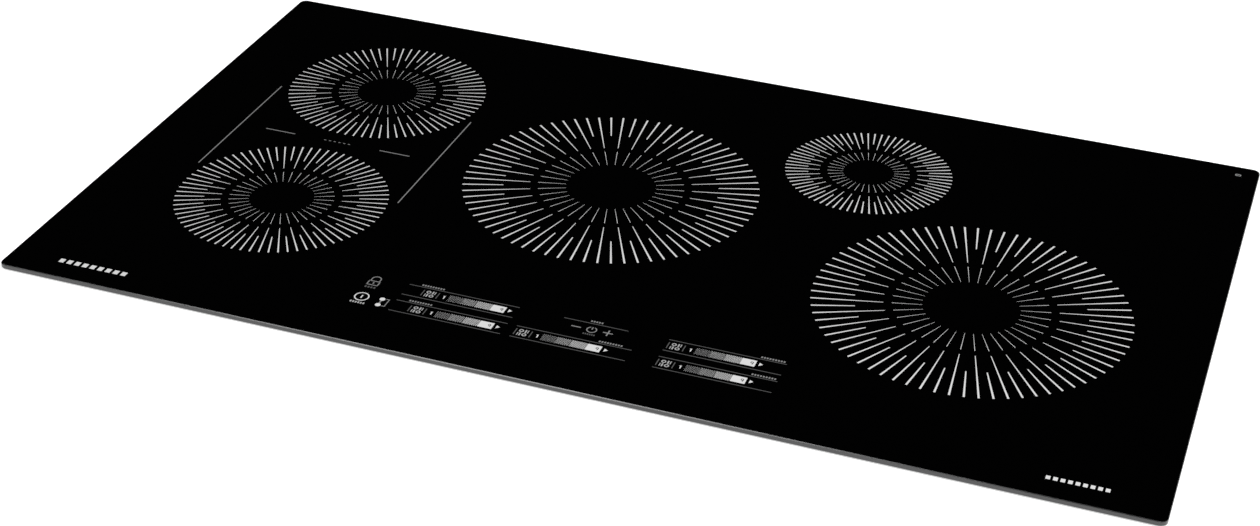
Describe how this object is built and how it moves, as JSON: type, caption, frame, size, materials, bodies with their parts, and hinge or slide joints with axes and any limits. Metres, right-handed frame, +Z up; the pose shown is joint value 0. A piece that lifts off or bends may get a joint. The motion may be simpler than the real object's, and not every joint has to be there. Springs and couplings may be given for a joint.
{
  "type": "built-in induction cooktop",
  "caption": "Wide built-in induction cooktop: black glass with ground edge over a shallow steel housing with sprung coils, fans, boards, touch control and worktop clamps.",
  "frame": {"origin": "centre of the glass footprint, on the worktop plane where the foam seal rests", "axes": "+X to the right along the glass's long side, +Y to the rear, +Z up; the control is at -Y"},
  "size_m": [0.931, 0.542, 0.095],
  "materials": {
    "black_glass": "black glass-ceramic, polished, printed pattern on top",
    "foam_seal": "matt closed-cell foam",
    "silicone": "matt black silicone",
    "galvanised_sheet": "zinc-coated sheet, faint spangle",
    "plated_grille": "satin zinc plating",
    "zinc_fasteners": "bright zinc plating",
    "aluminium_plate": "mill finish",
    "spring_steel": "drawn wire",
    "white_plastic": "moulded, matt",
    "copper_winding": "varnished stranded copper",
    "coil_former": "moulded, heat-resistant",
    "ceramic_fibre": "compressed white fibre",
    "ferrite": "sintered dark grey",
    "sensor_ceramic": "matt ceramic",
    "black_plastic": "moulded, matt",
    "circuit_board": "green solder mask",
    "capacitor_film": "moulded case",
    "choke_winding": "varnished",
    "touch_foam": "conductive foam",
    "ribbon_cable": "grey insulation",
    "lead_insulation": "silicone sleeve",
    "mains_insulation": "insulation",
    "printed_enamel": "fired white and grey print on the glass, matt"
  },
  "bodies": {
    "housing": {"glass_top": "black_glass", "worktop_gasket": "foam_seal", "frame_adhesive": "silicone", "glass_frame": "galvanised_sheet", "base_tray": "galvanised_sheet", "left_end_panel": "galvanised_sheet", "right_end_panel": "galvanised_sheet", "intake_guards": "plated_grille", "exhaust_grilles": "plated_grille", "clamp_brackets": "galvanised_sheet", "housing_screws": "zinc_fasteners", "left_plate_springs": "spring_steel", "right_plate_springs": "spring_steel", "spring_posts": "white_plastic", "left_fan_scroll": "black_plastic", "right_fan_scroll": "black_plastic", "left_power_board": "circuit_board", "right_power_board": "circuit_board", "filter_board": "circuit_board", "left_heat_sink": "aluminium_plate", "right_heat_sink": "aluminium_plate", "power_transistors": "black_plastic", "capacitors": "capacitor_film", "filter_chokes": "choke_winding", "board_standoffs": "white_plastic", "board_screws": "zinc_fasteners", "terminal_block": "white_plastic", "conduit_connector": "zinc_fasteners", "touch_carrier": "black_plastic", "touch_board": "circuit_board", "touch_pads": "touch_foam", "display_modules": "black_plastic", "control_ribbon": "ribbon_cable", "left_coil_leads": "lead_insulation", "right_coil_leads": "lead_insulation", "mains_wires": "mains_insulation"},
    "left_coils": {"left_coil_plate": "aluminium_plate", "left_rear_winding": "copper_winding", "left_front_winding": "copper_winding", "left_rear_former": "coil_former", "left_front_former": "coil_former", "left_insulation_discs": "ceramic_fibre", "left_ferrites": "ferrite", "left_sensors": "sensor_ceramic"},
    "right_coils": {"right_coil_plate": "aluminium_plate", "centre_winding": "copper_winding", "right_rear_winding": "copper_winding", "right_front_winding": "copper_winding", "centre_former": "coil_former", "right_rear_former": "coil_former", "right_front_former": "coil_former", "right_insulation_discs": "ceramic_fibre", "right_ferrites": "ferrite", "right_sensors": "sensor_ceramic"},
    "left_fan": {"left_fan_impeller": "black_plastic"},
    "right_fan": {"right_fan_impeller": "black_plastic"},
    "left_front_clamp": {"left_front_clamp_screw": "zinc_fasteners"},
    "left_rear_clamp": {"left_rear_clamp_screw": "zinc_fasteners"},
    "right_front_clamp": {"right_front_clamp_screw": "zinc_fasteners"},
    "right_rear_clamp": {"right_rear_clamp_screw": "zinc_fasteners"}
  },
  "joints": [
    {"name": "left_coil_float", "type": "slide", "parent": "housing", "child": "left_coils", "axis": [0, 0, 1], "range_m": [-0.003, 0], "stiffness_N_per_m": 8000, "springref_m": 0.005, "deforming": ["left_plate_springs", "left_coil_leads"]},
    {"name": "right_coil_float", "type": "slide", "parent": "housing", "child": "right_coils", "axis": [0, 0, 1], "range_m": [-0.003, 0], "stiffness_N_per_m": 18000, "springref_m": 0.005, "deforming": ["right_plate_springs", "right_coil_leads"]},
    {"name": "left_fan_spin", "type": "hinge", "parent": "housing", "child": "left_fan", "pos_m": [-0.3045, 0.167, -0.089], "axis": [0, 0, 1], "continuous": true},
    {"name": "right_fan_spin", "type": "hinge", "parent": "housing", "child": "right_fan", "pos_m": [0.3295, 0.167, -0.089], "axis": [0, 0, 1], "continuous": true},
    {"name": "left_front_clamp_travel", "type": "slide", "parent": "housing", "child": "left_front_clamp", "axis": [0, 0, 1], "range_m": [-0.01, 0.006]},
    {"name": "left_rear_clamp_travel", "type": "slide", "parent": "housing", "child": "left_rear_clamp", "axis": [0, 0, 1], "range_m": [-0.01, 0.006]},
    {"name": "right_front_clamp_travel", "type": "slide", "parent": "housing", "child": "right_front_clamp", "axis": [0, 0, 1], "range_m": [-0.01, 0.006]},
    {"name": "right_rear_clamp_travel", "type": "slide", "parent": "housing", "child": "right_rear_clamp", "axis": [0, 0, 1], "range_m": [-0.01, 0.006]}
  ]
}
